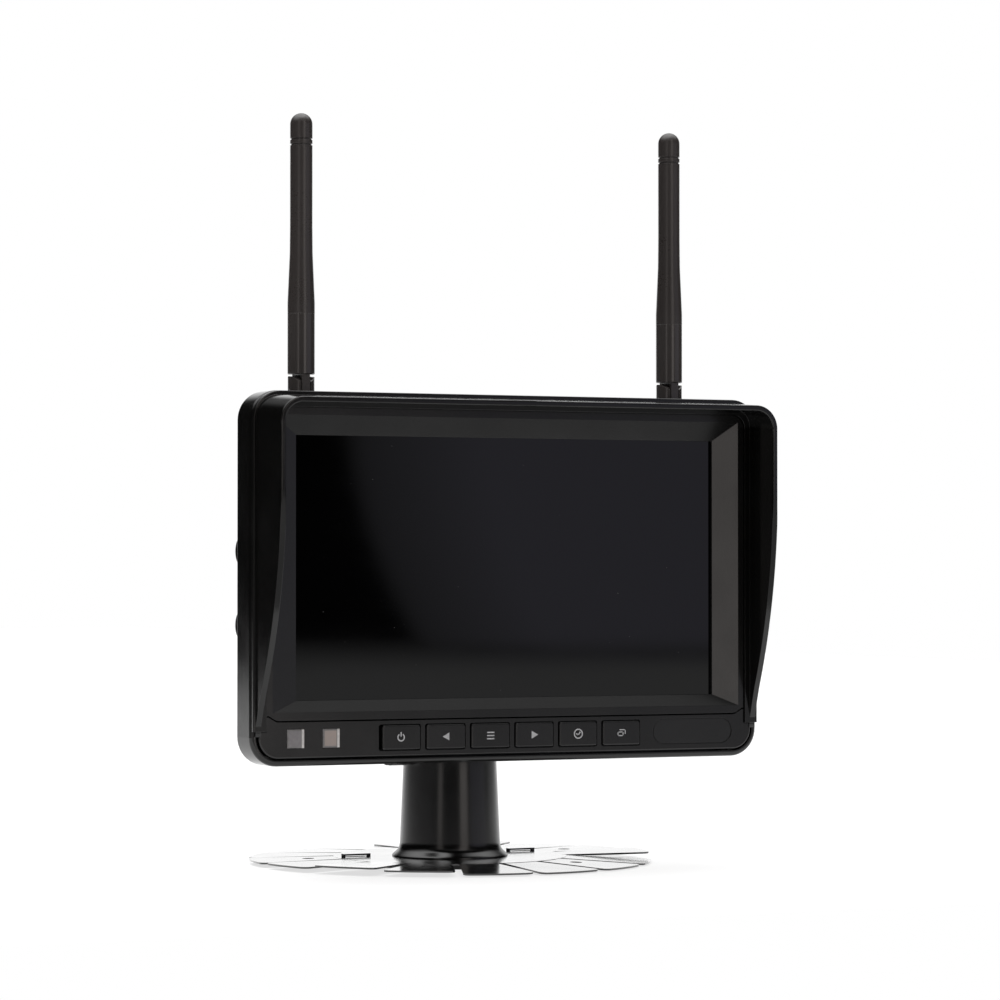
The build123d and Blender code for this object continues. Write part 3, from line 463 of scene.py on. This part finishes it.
def make_world():
    """White to the camera. For light and reflections: bright top and back, dark sides, a pale wall
    ahead on the right and, below it, pale ground all along the front.

    x, y and z are the parts of the direction a ray leaves in.
    """
    world = bpy.data.worlds.new("studio")
    bpy.context.scene.world = world
    world.use_nodes = True
    t = Tree(world.node_tree)
    background = t.nodes["Background"]
    direction = t.add("ShaderNodeTexCoord").outputs["Generated"]
    x, y, z = t.split(direction)
    strength = t.maths("MAXIMUM", bright_top_and_back(t, direction, y, z), DARKEST_SIDE)
    wall = pale_wall(t, x, y, z)
    strength = t.maths("MAXIMUM", strength, t.maths("MULTIPLY", wall, WALL_STRENGTH))
    ground = t.maths("MULTIPLY", t.spread(z, *WALL_FOOT, GROUND_STRENGTH, 0.0),
                     t.spread(y, -0.15, 0.05, 1.0, 0.0))
    strength = t.maths("MAXIMUM", strength, ground)
    path = t.add("ShaderNodeLightPath").outputs["Is Camera Ray"]
    mix = t.add("ShaderNodeMix")
    t.feed(path, mix.inputs[0])
    t.feed(strength, mix.inputs[2])
    mix.inputs[3].default_value = 1.0
    t.feed(mix.outputs[0], background.inputs["Strength"])
    colour = t.blend(wall, WHITE, WALL_COLOUR)
    t.feed(t.blend(path, colour, WHITE), background.inputs["Color"])


def bright_top_and_back(t, direction, y, z):
    """Light from above, weaker towards the front, and from behind the object as the camera sees it."""
    top = t.spread(z, 0.42, 0.92, 0.0, TOP_STRENGTH, smooth=True)
    top = t.maths("MULTIPLY", top, t.spread(y, -0.45, 0.05, 0.28, 1.0))
    behind = (math.sin(CAMERA_TURN), math.cos(CAMERA_TURN), 0.0)
    back = t.spread(t.dot(direction, behind), 0.80, 0.93, 0.0, BACK_STRENGTH, smooth=True)
    return t.maths("MAXIMUM", top, back)


def pale_wall(t, x, y, z):
    """1 on the wall ahead to the right that the glass mirrors, fading over its round left edge to 0."""
    forward = t.maths("MAXIMUM", t.maths("MULTIPLY", y, -1.0), 0.001)
    across = t.maths("DIVIDE", x, forward)
    rise = t.maths("DIVIDE", z, forward)
    bow = t.maths("POWER", t.maths("SUBTRACT", 0.045, rise), 2.0)
    past_edge = t.maths("SUBTRACT", across, t.maths("MULTIPLY", bow, 5.0))
    edge = t.maths("ADD", t.spread(past_edge, 0.432, 0.442, 0.0, 0.55, smooth=True),
                   t.spread(past_edge, 0.442, 0.478, 0.0, 0.45))
    wall = t.maths("MULTIPLY", edge, t.spread(y, -0.45, -0.30, 1.0, 0.0))
    wall = t.maths("MULTIPLY", wall, t.spread(rise, 0.25, 0.45, 1.0, 0.0))
    return t.maths("MULTIPLY", wall, t.spread(z, *WALL_FOOT, 0.0, 1.0))


def softbox(name, turn, rise, distance, width, height, power, colour=WHITE):
    """Area light aimed at the object.

    Turn is degrees from straight ahead towards +X, and rise is degrees above the table.
    """
    turn, rise = math.radians(turn), math.radians(rise)
    target = Vector((0, 0, 0.1))
    way = Vector((math.sin(turn) * math.cos(rise), -math.cos(turn) * math.cos(rise), math.sin(rise)))
    data = bpy.data.lights.new(name, "AREA")
    data.shape = "RECTANGLE"
    data.size = width
    data.size_y = height
    data.energy = power
    data.color = colour
    light = bpy.data.objects.new(name, data)
    bpy.context.scene.collection.objects.link(light)
    light.location = target + way * distance
    light.rotation_mode = "QUATERNION"
    light.rotation_quaternion = (-way).to_track_quat("-Z", "Y")


def make_lights():
    warm = (1.0, 0.93, 0.89)
    softbox("strip_left", -48.0, 16.0, 1.8, 0.32, 1.8, 1.7, warm)
    softbox("strip_front", 8.0, 14.0, 1.9, 0.62, 1.8, 4.4, warm)
    softbox("top", 0.0, 80.0, 1.8, 1.2, 1.0, 6.0)


# --- Build ----------------------------------------------------------------------------------------
make_camera()
bpy.context.scene.view_settings.view_transform = "Standard"
make_world()
make_lights()
make_floor()

finish_nodes(make_materials())
ink = symbol_ink()
for name in KEYS:
    make_symbol(name, ink)
